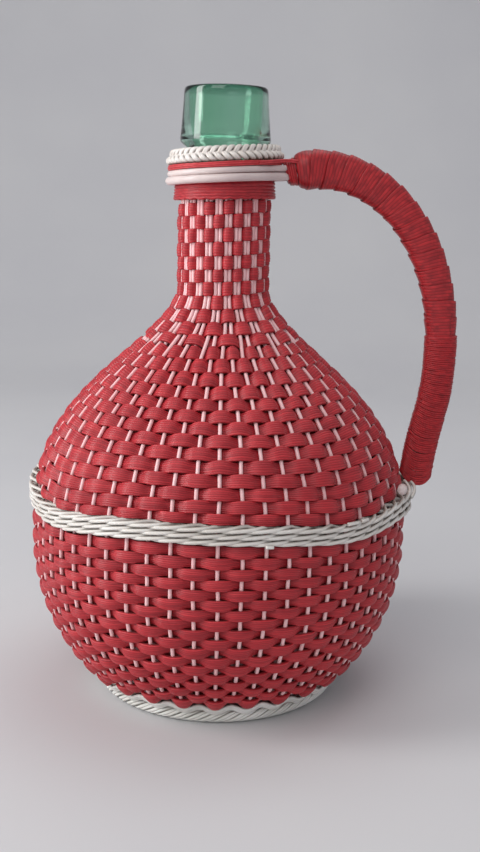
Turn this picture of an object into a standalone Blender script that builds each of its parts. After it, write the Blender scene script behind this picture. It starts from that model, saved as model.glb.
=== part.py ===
"""A five-litre demijohn in a woven plastic cover, with an arched handle on its right side.

Sizes are in millimetres and angles in degrees until a mesh is made, which is in metres.
The jug's axis stands left of the origin, so that the origin is the middle of its footprint.
Angles round the jug run from the handle's side (+X), and the front of the jug is -Y.
"""
import math

import bmesh
import bpy
import numpy as np

# Glass
height = 344.7
belly_radius = 103.1
belly_height = 90.6
belly_drop = 106.8
neck_radius = 20.1
neck_height = 235.5
shoulder_flare = 3.03
shoulder_hollow = 2.19
heel_height = 17.0
base_height = 12.4
base_radius = 62.0
punt_rise = 7.0
punt_radius = 44.0
glass_wall = 3.6
glass_steps = 20
bore_radius = 15.5
lip_height = 31.7
lip_radius = 25.3
lip_top_radius = 23.2
lip_round = 3.0
lip_chamfer = 2.6

# Cover, in layers from the glass outwards
clearance = 0.3
cover_depth = 6.2
band_thickness = 1.25
stake_thickness = 2.0
stake_diameter = 2.1

# Stakes
stake_count = 55
front_stake = 26
neck_columns = 27
neck_turn = 6.0
neck_wire_pitch = 2.3
split_height = 209.0
split_length = 26.0
cross_clearance = 0.6

# Weave
lower_weave_bottom = 13.4
lower_row_count = 18
shoulder_row_count = 14
band_gap = 0.5
band_spread = 0.3
bottom_weave_inner = 28.0
neck_steps = 18

# Foot ring
foot_overhang = 12.0
foot_flare = 4.5
foot_width = 9.0
foot_edge = 1.5
foot_steps = 24

# Waist rows
waist_height = 120.9
waist_proud = 4.25
waist_edge = 0.6
waist_row_height = 3.15
waist_row_count = 3
waist_steps = 24
waist_tilt = -0.9
waist_reach = 45.0

# Collar, from the lip down
plait_drop = 1.0
plait_height = 8.0
plait_radius = 33.6
plait_width = 9.6
plait_edge = 2.3
collar_height = 19.8
collar_radius = 28.5
collar_ring_height = 3.3
collar_ring_radius = 32.3
ring_edge = 0.8
collar_tube_diameter = 3.5
collar_tube_gap = 0.35
collar_tilt = 3.8
collar_tilt_fade = 26.0
collar_steps = 20

# Handle
handle_reach = 126.5
handle_reach_height = 204.5
handle_start_gap = 0.6
handle_start_rise = 16.8
handle_start_lift = 0.6
handle_foot_gap = 4.2
handle_foot_rise = 2.4
handle_foot_lean = 6.7
handle_width = 19.2
handle_depth = 14.0
handle_start_width = 23.4
handle_start_depth = 22.6
handle_start_length = 158.0
handle_throat_width = 15.2
handle_throat_length = 4.0
handle_throat_step = 2.5
handle_foot_swell = 0.4
core_diameter = 7.2
core_gap = 0.5
tail_length = 6.5
wrap_thickness = 1.5
wrap_gap = 0.8
wrap_upper_loops = 15
wrap_lower_loops = 8
wrap_loop_points = 8
wrap_squareness = 2.6

METRE = 0.001

# Layers of the cover, as depths out from the glass
layer_gap = (cover_depth - stake_thickness - 2 * band_thickness) / 3
stake_depth = layer_gap + band_thickness + layer_gap + stake_thickness / 2
band_inner = cover_depth - band_thickness

# Heights that follow from the sizes above
under_stakes = base_height - clearance - stake_thickness
waist_bottom = waist_height - waist_row_height * waist_row_count / 2 - clearance
waist_top = waist_height + waist_row_height * waist_row_count / 2 + clearance
plait_top = height - lip_height - plait_drop
collar_top = plait_top - plait_height - clearance
collar_bottom = collar_top - collar_height
tube_top = collar_top - collar_ring_height - clearance
stake_top = collar_top - clearance
tilt_top = tube_top - collar_tube_diameter / 2
neck_weave_bottom = split_height - 1.6
neck_weave_top = collar_bottom - clearance


def make_material(name, colour, roughness, metallic=0.0, transmission=0.0):
    """One Principled material."""
    material = bpy.data.materials.new(name)
    material.use_nodes = True
    shader = material.node_tree.nodes["Principled BSDF"]
    shader.inputs["Base Color"].default_value = (*colour, 1.0)
    shader.inputs["Roughness"].default_value = roughness
    shader.inputs["Metallic"].default_value = metallic
    shader.inputs["Transmission Weight"].default_value = transmission
    material.diffuse_color = (*colour, 1.0)
    return material


def link(scene_object, material):
    """Put a finished object into the jug's collection with its material."""
    scene_object.data.materials.clear()
    scene_object.data.materials.append(material)
    jug.objects.link(scene_object)
    return scene_object


def mesh_piece(name, points, faces, material):
    """A mesh from points in millimetres; faces are wound outwards by their closed volume."""
    work = bmesh.new()
    corners = [work.verts.new((p[0] + axis_x, p[1], p[2])) for p in points]
    for face in faces:
        work.faces.new([corners[index] for index in face])
    bmesh.ops.scale(work, vec=(METRE, METRE, METRE), verts=work.verts)
    bmesh.ops.recalc_face_normals(work, faces=work.faces)
    mesh = bpy.data.meshes.new(name)
    work.to_mesh(mesh)
    work.free()
    return link(bpy.data.objects.new(name, mesh), material)


def loft(name, sections, material, closed=False):
    """Closed sections of equal count, joined one to the next, capped unless they close."""
    points = [point for section in sections for point in section]
    around = len(sections[0])
    last = len(sections) if closed else len(sections) - 1
    faces = []
    for row in range(last):
        here = row * around
        there = (row + 1) % len(sections) * around
        for k in range(around):
            nxt = (k + 1) % around
            faces.append((here + k, here + nxt, there + nxt, there + k))
    if not closed:
        faces.append(tuple(range(around)))
        faces.append(tuple(range((len(sections) - 1) * around, len(sections) * around)))
    return mesh_piece(name, points, faces, material)


def turned_piece(name, outline, steps, material):
    """A closed outline (radius, height) turned about the jug's axis."""
    mesh = bpy.data.meshes.new(name)
    points = [(r * METRE, 0.0, z * METRE) for r, z in outline]
    count = len(points)
    edges = [(k, (k + 1) % count) for k in range(count)]
    edges = [(a, b) for a, b in edges if outline[a][0] > 0 or outline[b][0] > 0]
    mesh.from_pydata(points, edges, [])
    piece = link(bpy.data.objects.new(name, mesh), material)
    piece.location.x = axis_x * METRE
    screw = piece.modifiers.new("Turn", "SCREW")
    screw.steps = steps
    screw.render_steps = steps
    screw.use_merge_vertices = True
    screw.merge_threshold = 0.00001
    return piece


def tube_piece(name, points, diameter, material):
    """A round tube of the given diameter through the points, as a curve with filled caps."""
    curve = bpy.data.curves.new(name, "CURVE")
    curve.dimensions = "3D"
    curve.bevel_depth = diameter / 2 * METRE
    curve.bevel_resolution = 1
    curve.render_resolution_u = 0
    curve.use_fill_caps = True
    spline = curve.splines.new("POLY")
    spline.points.add(len(points) - 1)
    for target, (x, y, z) in zip(spline.points, points):
        target.co = ((x + axis_x) * METRE, y * METRE, z * METRE, 1.0)
    return link(bpy.data.objects.new(name, curve), material)


def glass_radius(z):
    """Outside of the glass: half an ellipse below the belly, a power curve into the neck above."""
    z = np.asarray(z, float)
    rise = np.clip((z - belly_height) / (neck_height - belly_height), 0, 1)
    spread = (1 - rise ** shoulder_flare) ** shoulder_hollow
    shoulder = neck_radius + (belly_radius - neck_radius) * spread
    fall = np.clip((belly_height - z) / belly_drop, 0, 1)
    return np.where(z > belly_height, shoulder, belly_radius * np.sqrt(1 - fall ** 2))


def knot_heights():
    """Heights on the glass where every layer of the cover has its corners."""
    below = waist_bottom - waist_row_height
    above = waist_top + waist_row_height
    low = heel_height + (below - heel_height) * np.array([0.0, 0.26, 0.58, 1.0])
    high = above + (neck_height - above) * np.array([0.0, 0.19, 0.37, 0.76, 0.91, 1.03])
    return np.array([*low, *high, stake_top])


def knot_line(depth):
    """The cover's line at one depth out from the glass: radii and heights at the knots."""
    z = knot_heights()
    step = 0.5
    slope = (glass_radius(z + step) - glass_radius(z - step)) / (2 * step)
    length = np.sqrt(1 + slope ** 2)
    return glass_radius(z) + depth / length, z - depth * slope / length


def cover_place(height_on_cover, depth):
    """Radius and height at a depth, straight in from a height on the cover's outer face."""
    outer = knot_line(cover_depth)[1]
    radii, heights = knot_line(depth)
    share = np.interp(height_on_cover, outer, np.arange(len(outer)))
    knots = np.arange(len(outer))
    return np.interp(share, knots, radii), np.interp(share, knots, heights)


def waist_shift(angle, height_on_cover):
    """How far the weave is lifted at an angle, because the waist rows do not lie quite level."""
    near = math.exp(-((height_on_cover - waist_height) / waist_reach) ** 2)
    return belly_radius * math.cos(angle) * math.tan(math.radians(waist_tilt)) * near


def collar_lift(x, z):
    """How far the collar is lifted towards the handle, fading out down the neck."""
    share = min(max(1 - (tilt_top - z) / collar_tilt_fade, 0.0), 1.0)
    return x * math.tan(math.radians(collar_tilt)) * share


def cover_point(angle, height_on_cover, depth):
    """A point of the cover at an angle round the jug."""
    r, z = cover_place(height_on_cover, depth)
    x, y = float(r) * math.cos(angle), float(r) * math.sin(angle)
    return (x, y, float(z) + collar_lift(x, float(z)))


def body_angle(stake):
    """Angle of a stake round the belly, where one stake stands at the front."""
    return math.tau * (stake - front_stake) / stake_count - math.pi / 2


def neck_angle(stake):
    """Angle of a stake round the neck, where the stakes lie in pairs and in one set of three."""
    radius = neck_radius + stake_depth
    spare = (math.tau * radius - stake_count * neck_wire_pitch) / neck_columns
    column = min(stake // 2, neck_columns - 1)
    run = (stake - front_stake - 0.5) * neck_wire_pitch + (column - front_stake // 2) * spare
    return run / radius + math.radians(neck_turn) - math.pi / 2


def stake_angle(stake, z):
    """Even spacing below the shoulder, pairs above it, and a smooth run between."""
    share = min(max((z - split_height) / split_length + 0.5, 0.0), 1.0)
    share = share * share * (3 - 2 * share)
    return body_angle(stake) + share * (neck_angle(stake) - body_angle(stake))


def make_glass():
    """The bottle: a turned shell with a punt, a neck and a heavy lip."""
    neck_top = height - lip_height
    outline = [(lip_top_radius - lip_round, height), (lip_top_radius, height - lip_round)]
    outline += [(lip_radius, neck_top + lip_chamfer), (neck_radius, neck_top)]
    levels = [z for z in knot_heights()[::-1] if z < neck_top - 20]
    outline += [(float(glass_radius(z)), z) for z in levels]
    outline += [(base_radius, base_height), (punt_radius, base_height + 0.4)]
    outline += [(punt_radius * 0.5, base_height + punt_rise * 0.8), (0.0, base_height + punt_rise)]
    inner = [(0.0, base_height + punt_rise + glass_wall)]
    inner += [(punt_radius * 0.5, base_height + punt_rise * 0.8 + glass_wall)]
    inner += [(punt_radius + 4, base_height + glass_wall + 0.8)]
    inner += [(base_radius + 1, base_height + glass_wall + 1.5)]
    for z in levels[::-2]:
        inner.append((max(float(glass_radius(z)) - glass_wall, bore_radius), z + glass_wall * 0.2))
    inner = [point for point in inner if point[0] > bore_radius or point[1] < belly_height]
    inner += [(bore_radius, neck_height + 14), (bore_radius, height)]
    outline += inner
    turned_piece("glass_bottle", outline, glass_steps, glass)


def stake_turn(stake, height_on_cover):
    """Angle of a stake's straight run between two knots, at a height on the cover's outer face."""
    turns = [stake_angle(stake, z) for z in knot_heights()]
    return float(np.interp(height_on_cover, knot_line(cover_depth)[1], turns))


def make_stakes():
    """All stakes: each starts at the cross under the bottle, and runs up to the plait.

    A stake is a wire of triangular section: one corner above, one below and one at its side.
    """
    cross_radius = stake_count * (stake_diameter + cross_clearance) / math.tau
    level = under_stakes + stake_thickness / 2
    radius, half = stake_diameter / 2, stake_diameter / 2 * math.sqrt(0.75)
    corners = [(-radius / 2, half), (-radius / 2, -half), (radius, 0.0)]
    heights = knot_heights()
    along = 2 + len(heights)
    points = []
    for stake in range(stake_count):
        turns = [stake_angle(stake, z) for z in (cross_radius, base_height, *heights)]
        for row in range(along):
            side = (math.cos(turns[row]), math.sin(turns[row]))
            for across, up in corners:
                if row < 2:
                    r, z = (cross_radius, base_radius)[row], level + up
                else:
                    lines = knot_line(stake_depth - up)
                    r, z = lines[0][row - 2], lines[1][row - 2]
                x, y = r * side[0] - across * side[1], r * side[1] + across * side[0]
                points.append((x, y, z + collar_lift(x, z)))
    faces = []
    for stake in range(stake_count):
        first = stake * along * 3
        for row in range(along - 1):
            here = first + row * 3
            for k in range(3):
                nxt = (k + 1) % 3
                faces.append((here + k, here + nxt, here + 3 + nxt, here + 3 + k))
        end = first + (along - 1) * 3
        faces.append((end, end + 1, end + 2))
        after = (stake + 1) % stake_count * along * 3
        faces += [(first + 2, first + 1, after + 1), (first + 2, after + 1, after)]
        faces += [(first + 2, after, first)]
    faces.append(tuple(stake * along * 3 for stake in range(stake_count)))
    faces.append(tuple(stake * along * 3 + 1 for stake in range(stake_count)))
    return mesh_piece("stakes", points, faces, white_wire)


def make_weave(name, bottom, top, rows):
    """One band wound up the cover in a spiral, over one stake and under the next.

    It has a section at every stake, with two corners on its face and one inside. Its edges lie
    midway between the turns, so that the first turn starts narrow and the last one ends narrow.
    """
    pitch = (top - bottom) / rows
    sections = []
    for crossing in range(rows * stake_count + 1):
        stake = crossing % stake_count
        middle = bottom + pitch * crossing / stake_count
        over = crossing % 2 == 0
        spread = band_spread if over else -band_spread
        low = max(middle - pitch / 2 - spread, bottom) + band_gap / 2
        high = min(middle + pitch / 2 + spread, top) - band_gap / 2
        face = cover_depth if over else layer_gap + band_thickness
        section = []
        for level, depth in ((low, face), (high, face), ((low + high) / 2, face - band_thickness)):
            turn = stake_turn(stake, level)
            section.append(cover_point(turn, level + waist_shift(turn, level), depth))
        sections.append(section)
    corners = np.array(sections)
    halfway = (corners[1:] + corners[:-1]) / 2
    gap = np.linalg.norm(halfway[stake_count:, 0] - halfway[:-stake_count, 1], axis=1).min()
    print(f"{name}: {rows} turns, least gap to itself {gap:.2f} mm")
    return loft(name, sections, red_band)


def make_neck_weave():
    """The weave round the neck, where the bands go over pairs of stakes, as a closed shell."""
    bottom, top = neck_weave_bottom + clearance, neck_weave_top
    outer = knot_line(cover_depth)[1]
    sections = []
    for step in range(neck_steps):
        angle = math.tau * step / neck_steps
        levels = [bottom] + [z for z in outer if bottom + 2 < z < top - 2] + [top]
        up = [cover_point(angle, z, cover_depth) for z in levels]
        down = [cover_point(angle, z, band_inner) for z in levels[::-1]]
        sections.append(up + down)
    return loft("neck_weave", sections, red_band, closed=True)


def foot_radii():
    """Top and bottom radius of the foot ring's outside, and the bottom radius of its inside."""
    top = base_radius + foot_overhang
    bottom = top - foot_flare
    return top, bottom, bottom - foot_width


def make_bottom_weave():
    """The flat weave under the bottle, between the cross and the foot ring."""
    top = under_stakes - clearance
    outer = foot_radii()[2] - clearance
    outline = [(outer, top), (outer, top - band_thickness)]
    outline += [(bottom_weave_inner, top - band_thickness), (bottom_weave_inner, top)]
    turned_piece("bottom_weave", outline, foot_steps, red_band)


def make_foot_ring():
    """The foot that the jug stands on, flat below."""
    top = under_stakes - clearance
    top_radius, bottom_radius, inner_radius = foot_radii()
    outline = [(top_radius - foot_edge, top), (top_radius, top - foot_edge)]
    outline += [(bottom_radius + foot_edge, foot_edge), (bottom_radius, 0.0)]
    outline += [(inner_radius + foot_edge, 0.0), (inner_radius, foot_edge), (inner_radius + foot_edge, top)]
    turned_piece("foot_ring", outline, foot_steps, white_wire)


def make_waist_rows():
    """Twined rows of white wire round the widest part, lying over the stakes."""
    for row in range(waist_row_count):
        middle = waist_height + (row - (waist_row_count - 1) / 2) * waist_row_height
        half = (waist_row_height - clearance) / 2
        sections = []
        for k in range(waist_steps):
            angle = math.tau * k / waist_steps
            lift = waist_shift(angle, middle)
            low, high = middle - half + lift, middle + half + lift
            inner = float(cover_place(middle + lift, band_inner)[0]) / math.cos(math.pi / waist_steps)
            corners = [(inner, high), (inner, low)]
            corners += [(waist_radius, low + waist_edge), (waist_radius, high - waist_edge)]
            sections.append([(r * math.cos(angle), r * math.sin(angle), z) for r, z in corners])
        loft(f"waist_row_{row + 1}", sections, white_wire, closed=True)


def collar_piece(name, outline, material):
    """A closed outline (radius, height) turned about the axis, with the collar's tilt."""
    sections = []
    for step in range(collar_steps):
        angle = math.tau * step / collar_steps
        across = [(r * math.cos(angle), r * math.sin(angle), z) for r, z in outline]
        sections.append([(x, y, z + collar_lift(x, z)) for x, y, z in across])
    return loft(name, sections, material, closed=True)


def make_collar():
    """Collar band on the neck, and the rings that lie on it."""
    inner = neck_radius + band_inner
    outline = [(collar_radius, collar_top), (collar_radius, collar_bottom)]
    outline += [(inner, collar_bottom), (inner, collar_top)]
    collar_piece("collar_band", outline, red_band)
    ring_low = collar_top - collar_ring_height
    ring_inner = collar_radius + clearance
    outline = [(collar_ring_radius - ring_edge, collar_top)]
    outline += [(collar_ring_radius, (collar_top + ring_low) / 2)]
    outline += [(collar_ring_radius - ring_edge, ring_low)]
    outline += [(ring_inner, ring_low), (ring_inner, collar_top)]
    collar_piece("collar_ring", outline, red_band)
    low = plait_top - plait_height
    inner = plait_radius - plait_width
    outline = [(plait_radius - plait_edge, plait_top), (plait_radius, plait_top - plait_edge)]
    outline += [(plait_radius, low + plait_edge), (plait_radius - plait_edge, low)]
    outline += [(inner, low), (inner, plait_top - plait_edge / 2)]
    collar_piece("collar_plait", outline, white_wire)
    upper, lower = tube_heights()
    tube_piece("collar_tube_lower", collar_tube_route(lower), collar_tube_diameter, white_wire)
    tube_piece("collar_tube_upper", collar_tube_route(upper), collar_tube_diameter, white_wire)


def tube_heights():
    """Middle heights of the upper and the lower collar tube."""
    upper = tube_top - collar_tube_diameter / 2
    return upper, upper - collar_tube_diameter - collar_tube_gap


def collar_tube_route(z):
    """Once round the collar, with both tails running side by side into the handle."""
    radius = collar_radius + clearance + collar_tube_diameter / 2 + 0.3
    tail_y = core_diameter / 2 + clearance + collar_tube_diameter / 2 + 0.2
    gather_x, gather_y = plait_radius + clearance, tail_y + 2.2
    level = z + collar_lift(gather_x, z)
    tail_z = level + tail_length * math.tan(math.radians(handle_start_rise)) * 0.7
    start = handle_line()[0, 0]
    leave = math.atan2(gather_y, gather_x) + math.acos(radius / math.hypot(gather_x, gather_y))
    tail = [(start + tail_length, tail_y, tail_z), (start + 3, tail_y, level), (gather_x, gather_y, level)]
    turns = np.linspace(leave, math.tau - leave, 15)
    ring = [(radius * math.cos(t), radius * math.sin(t)) for t in turns]
    ring = [(x, y, z + collar_lift(x, z)) for x, y in ring]
    return tail + ring + [(x, -y, up) for x, y, up in tail[::-1]]


def bezier(points, count):
    """Points along one cubic Bezier span."""
    t = np.linspace(0, 1, count)[:, None]
    a, b, c, d = (np.array(p, float) for p in points)
    return (1 - t) ** 3 * a + 3 * (1 - t) ** 2 * t * b + 3 * (1 - t) * t ** 2 * c + t ** 3 * d


def handle_line():
    """The handle's middle line in the XZ plane, from the collar over the arch to the waist."""
    rise = math.radians(handle_start_rise)
    lean = math.radians(handle_foot_lean)
    start = (plait_radius + handle_start_gap, tube_heights()[0] + handle_start_lift)
    far = (handle_reach, handle_reach_height)
    foot = (waist_radius + handle_foot_gap, waist_top + handle_foot_rise)
    span = (handle_reach - start[0]) * 0.545
    drop = (start[1] - handle_reach_height) * 0.685
    fall = (handle_reach_height - foot[1]) * 0.506
    upper = bezier([start, (start[0] + span * math.cos(rise), start[1] + span * math.sin(rise)),
                    (far[0], far[1] + drop), far], 80)
    lower = bezier([far, (far[0], far[1] - fall),
                    (foot[0] + fall * math.sin(lean), foot[1] + fall * math.cos(lean)), foot], 60)
    return np.vstack([upper, lower[1:]])


def handle_frame(distance):
    """Place, direction and outward normal of the handle line at distances along it."""
    line = handle_line()
    steps = np.hypot(*np.diff(line, axis=0).T)
    run = np.concatenate([[0], np.cumsum(steps)])
    way = np.gradient(line, run, axis=0)
    place = np.stack([np.interp(distance, run, line[:, k]) for k in (0, 1)], -1)
    along = np.stack([np.interp(distance, run, way[:, k]) for k in (0, 1)], -1)
    along /= np.linalg.norm(along, axis=-1, keepdims=True)
    return place, np.stack([-along[..., 1], along[..., 0]], -1), run[-1]


def wrap_half(distance, length):
    """Half width in the handle's plane and half depth across it, at a distance along."""
    near = np.clip(1 - distance / handle_start_length, 0, 1) ** 1.5
    foot = np.clip((distance / length - 0.75) / 0.25, 0, 1)
    width = handle_width + (handle_start_width - handle_width) * near + handle_foot_swell * foot
    grown = np.clip((distance - handle_throat_length) / handle_throat_step, 0, 1)
    width = handle_throat_width + (width - handle_throat_width) * grown
    depth = handle_depth + (handle_start_depth - handle_depth) * np.clip(1.9 - distance / 14.0, 0, 1)
    return width / 2, depth / 2


def rounded(value):
    """A sine or cosine raised so that the wrap's section is an oval with fuller corners."""
    return np.sign(value) * np.abs(value) ** (2 / wrap_squareness)


def make_wrap(name, first_loop, loops, material):
    """A flat band wound round the handle in one unbroken helix, loop beside loop."""
    length = handle_frame(0.0)[2]
    pitch = length / (wrap_upper_loops + wrap_lower_loops + 1)
    turn = np.linspace(0, math.tau * loops, loops * wrap_loop_points + 1)
    if first_loop:
        turn[0] += wrap_gap / handle_depth
    middle = pitch * (first_loop + 0.5 + turn / math.tau)
    half = (pitch - wrap_gap) / 2
    corners = []
    for shift, inward in ((-half, 0.0), (half, 0.0), (0.0, wrap_thickness)):
        distance = middle + shift
        place, normal, _ = handle_frame(distance)
        width, depth = wrap_half(distance, length)
        reach = (width - inward) * rounded(np.cos(turn))
        across = (depth - inward) * rounded(np.sin(turn))
        corners.append(np.stack([place[:, 0] + reach * normal[:, 0], across,
                                 place[:, 1] + reach * normal[:, 1]], -1))
    rows = np.stack(corners, 1)
    gap = np.linalg.norm(rows[wrap_loop_points:, 0] - rows[:-wrap_loop_points, 1], axis=1).min()
    print(f"{name}: {loops} loops, least gap to itself {gap:.2f} mm")
    return loft(name, [[tuple(p) for p in row] for row in rows], material)


def make_handle():
    """Two core tubes, one over the other, under two lengths of wrap."""
    length = handle_frame(0.0)[2]
    offset = (core_diameter + core_gap) / 2
    for side, name in ((1, "handle_core_outer"), (-1, "handle_core_inner")):
        stops = np.linspace(handle_throat_length + handle_throat_step, length, 16)
        place, normal, _ = handle_frame(stops)
        route = place + side * offset * normal
        tube_piece(name, [(x, 0.0, z) for x, z in route], core_diameter, core_white)
    make_wrap("handle_wrap_upper", 0, wrap_upper_loops, red_band)
    make_wrap("handle_wrap_lower", wrap_upper_loops, wrap_lower_loops, red_band)


waist_radius = float(cover_place(waist_height, cover_depth)[0]) + waist_proud
axis_x = (waist_radius - handle_reach - handle_width / 2) / 2

for old in list(bpy.data.objects):
    bpy.data.objects.remove(old)

jug = bpy.data.collections.new("demijohn")
bpy.context.scene.collection.children.link(jug)

glass = make_material("green_glass", (0.02, 0.16, 0.11), 0.05, transmission=1.0)
red_band = make_material("red_plastic_strand", (0.55, 0.02, 0.025), 0.35)
white_wire = make_material("white_plastic_wire", (0.78, 0.75, 0.70), 0.4)
core_white = make_material("white_tube", (0.72, 0.66, 0.58), 0.45)

make_glass()
make_stakes()
make_bottom_weave()
make_foot_ring()
make_weave("lower_weave", lower_weave_bottom, waist_bottom, lower_row_count)
make_waist_rows()
make_weave("shoulder_weave", waist_top, neck_weave_bottom, shoulder_row_count)
make_neck_weave()
make_collar()
make_handle()
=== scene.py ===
"""A green glass demijohn in a woven cover of red strands and white wire, with a wrapped handle.

Lengths are in millimetres and angles in radians until a mesh is made, which is in metres. Every
shape is worked out round the bottle's axis, with the handle towards +X and the front towards -Y,
and its place in the shared frame is that axis moved by axis_x. Heights on the cover are heights
of its outer face; a depth is measured straight out from the glass.
"""

import math

import bmesh
import bpy
import numpy as np
from mathutils import Matrix, Vector


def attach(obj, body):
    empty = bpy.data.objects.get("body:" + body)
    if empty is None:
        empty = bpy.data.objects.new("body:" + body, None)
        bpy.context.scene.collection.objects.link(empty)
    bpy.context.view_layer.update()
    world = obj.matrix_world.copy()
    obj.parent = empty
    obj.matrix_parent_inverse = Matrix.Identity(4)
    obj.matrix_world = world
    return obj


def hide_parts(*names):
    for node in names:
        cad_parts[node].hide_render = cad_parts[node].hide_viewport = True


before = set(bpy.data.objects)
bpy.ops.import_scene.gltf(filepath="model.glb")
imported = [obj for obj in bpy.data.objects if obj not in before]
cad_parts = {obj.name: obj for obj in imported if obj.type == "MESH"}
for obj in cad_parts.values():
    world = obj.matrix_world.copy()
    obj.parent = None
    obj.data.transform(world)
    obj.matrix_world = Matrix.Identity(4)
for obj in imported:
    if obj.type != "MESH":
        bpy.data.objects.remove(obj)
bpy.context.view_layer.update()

METRE = 0.001
TURN = 2 * math.pi
NOISE_VALUES = 4096
FRONT = -math.pi / 2
OUT = (1, 1, 0)
UP = (0, 0, 1)

axis_x = -12.207

# Glass
belly_radius = 103.1
belly_height = 90.6
belly_drop = 106.8
neck_radius = 20.1
neck_height = 235.5
shoulder_flare = 3.03
shoulder_hollow = 2.19
base_height = 12.4
base_radius = 62.0
heel_round = 6.0
glass_wall = 3.6
bore_radius = 15.5

# Stakes
stake_depth = 3.38
stake_radius = 1.05
stake_sway = 0.20
stake_count = 55
front_stake = 26
neck_columns = 27
front_column = 13
neck_turn = math.radians(6.0)
neck_wire_pitch = 2.12
split_height = 209.0
split_length = 26.0
hub_bottom = 10.2
hub_top = 12.0

# Bands of weave
cover_depth = 6.2
band_swing = 2.02
band_thickness = 1.6
band_crown = 0.55
band_groove = 0.30
least_depth = 0.15
row_fill = 0.486
row_wander = 0.14
width_wander = 0.012
least_swell = 0.03
hollow_swell = 0.20
crest_swell = 0.26
crest_wander = 0.07
swing_wander = 0.06
tip_turns = 0.7
tip_power = 1.5
tip_tuck = 0.7
end_gap = 0.02

# Heights of the rows of weave at the front
lower_rows = [16.2, 21.1, 26.1, 31.3, 36.8, 42.9, 48.3, 54.6, 60.1, 65.7, 71.7, 77.2, 83.1, 88.6,
              94.2, 99.9, 106.0, 112.1]
shoulder_rows = [128.3, 134.5, 140.6, 146.4, 153.0, 158.8, 164.6, 170.1, 175.8, 180.6, 186.1, 192.1,
                 198.7, 204.5]
neck_rows = [210.3, 215.6, 222.4, 228.8, 236.2, 243.1, 250.0, 257.7, 265.1, 272.7, 279.7]

# Lower and upper limits of the three zones of weave
lower_limits = (13.4, 115.8)
shoulder_limits = (126.0, 207.4)
neck_limits = (207.9, 283.5)

# Flat weave under the bottle
bottom_turns = 6
bottom_start = 31.0
bottom_pitch = 4.95
bottom_half_width = 2.35
bottom_height = 8.35
bottom_swing = 0.25
bottom_groove = 0.28
bottom_thickness = 1.1

# Foot: the middle, the half sizes and the lean of the rope's oval section, and the arcs on top
foot_radius = 67.2
foot_middle = 4.6
foot_half_width = 3.4
foot_half_height = 3.5
foot_lean = 0.42
foot_wire_radius = 1.04
foot_pairs = 5
arc_radius = 75.3
arc_height = 12.0
arc_rise = 1.6

# Waist: each sag has its angle from the front, its width and its depth
waist_height = 120.9
waist_tilt = math.tan(math.radians(-0.9))
waist_reach = 45.0
waist_sags = ((-0.98, 0.42, 7.0), (0.0, 0.5, 1.0), (0.72, 0.36, 4.6))
sag_reach = 32.0
wale_radius = 107.1
wale_pitch = 3.25
wale_swing = 3.2
wale_flat = 0.7
wale_rise = 0.85
wale_wire_radius = 1.12
spread_angle = -0.12
spread_width = 0.32

# Collar
collar_inner = 24.8
collar_bottom = 283.9
collar_top = 303.7
collar_strand_step = 1.72
collar_strands = 5
collar_face = 28.75
collar_back = 27.9
collar_groove = 0.75
collar_scallop = 0.75
scallop_fade = 3.0
ring_radius = 31.7
ring_height = 301.75
ring_strand_step = 0.9
tube_tail_y = 5.95
stake_top = 303.0
collar_tilt = math.tan(math.radians(3.8))
collar_tilt_top = 298.35
collar_tilt_fade = 26.0
plait_radius = 29.9
plait_height = 308.4
plait_lean = math.radians(27)
plait_periods = 15
plait_rise = 3.25
plait_swing = 1.1
plait_wire_radius = 1.12

# Handle
handle_reach = 126.5
handle_reach_height = 204.5
handle_start = (34.2, 298.95)
handle_foot = (115.886, 128.325)
handle_start_rise = math.radians(16.8)
handle_foot_lean = math.radians(6.7)
handle_width = 19.2
handle_depth = 14.0
handle_start_width = 23.4
handle_start_depth = 22.6
handle_start_length = 158.0
handle_throat_width = 15.2
handle_throat_length = 4.0
handle_throat_step = 2.5
core_diameter = 7.2
core_gap = 0.5
handle_past = 8.0
wrap_loops = 24
wrap_upper_loops = 15.5
wrap_power = 2 / 2.6
wrap_texture = 8.0
throat_pitch = 1.15
throat_sinks = (2.2, 1.1, 0.75, 0.7, 2.0)
band_begin = 5.7
band_half_width = 0.56
band_level_turns = 1.0
band_wander = 0.32
band_roll = 0.45
band_slope = 0.5
wound_groove = 0.12
wound_thickness = 0.9
band_cone = 2.8
band_cone_length = 8.0
band_deepest = 4.4
fine_pitch = 1.04
fine_strand_radius = 0.64
fine_sink = 0.80
fine_hang = 0.8
fine_side_hang = 5.4


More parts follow.
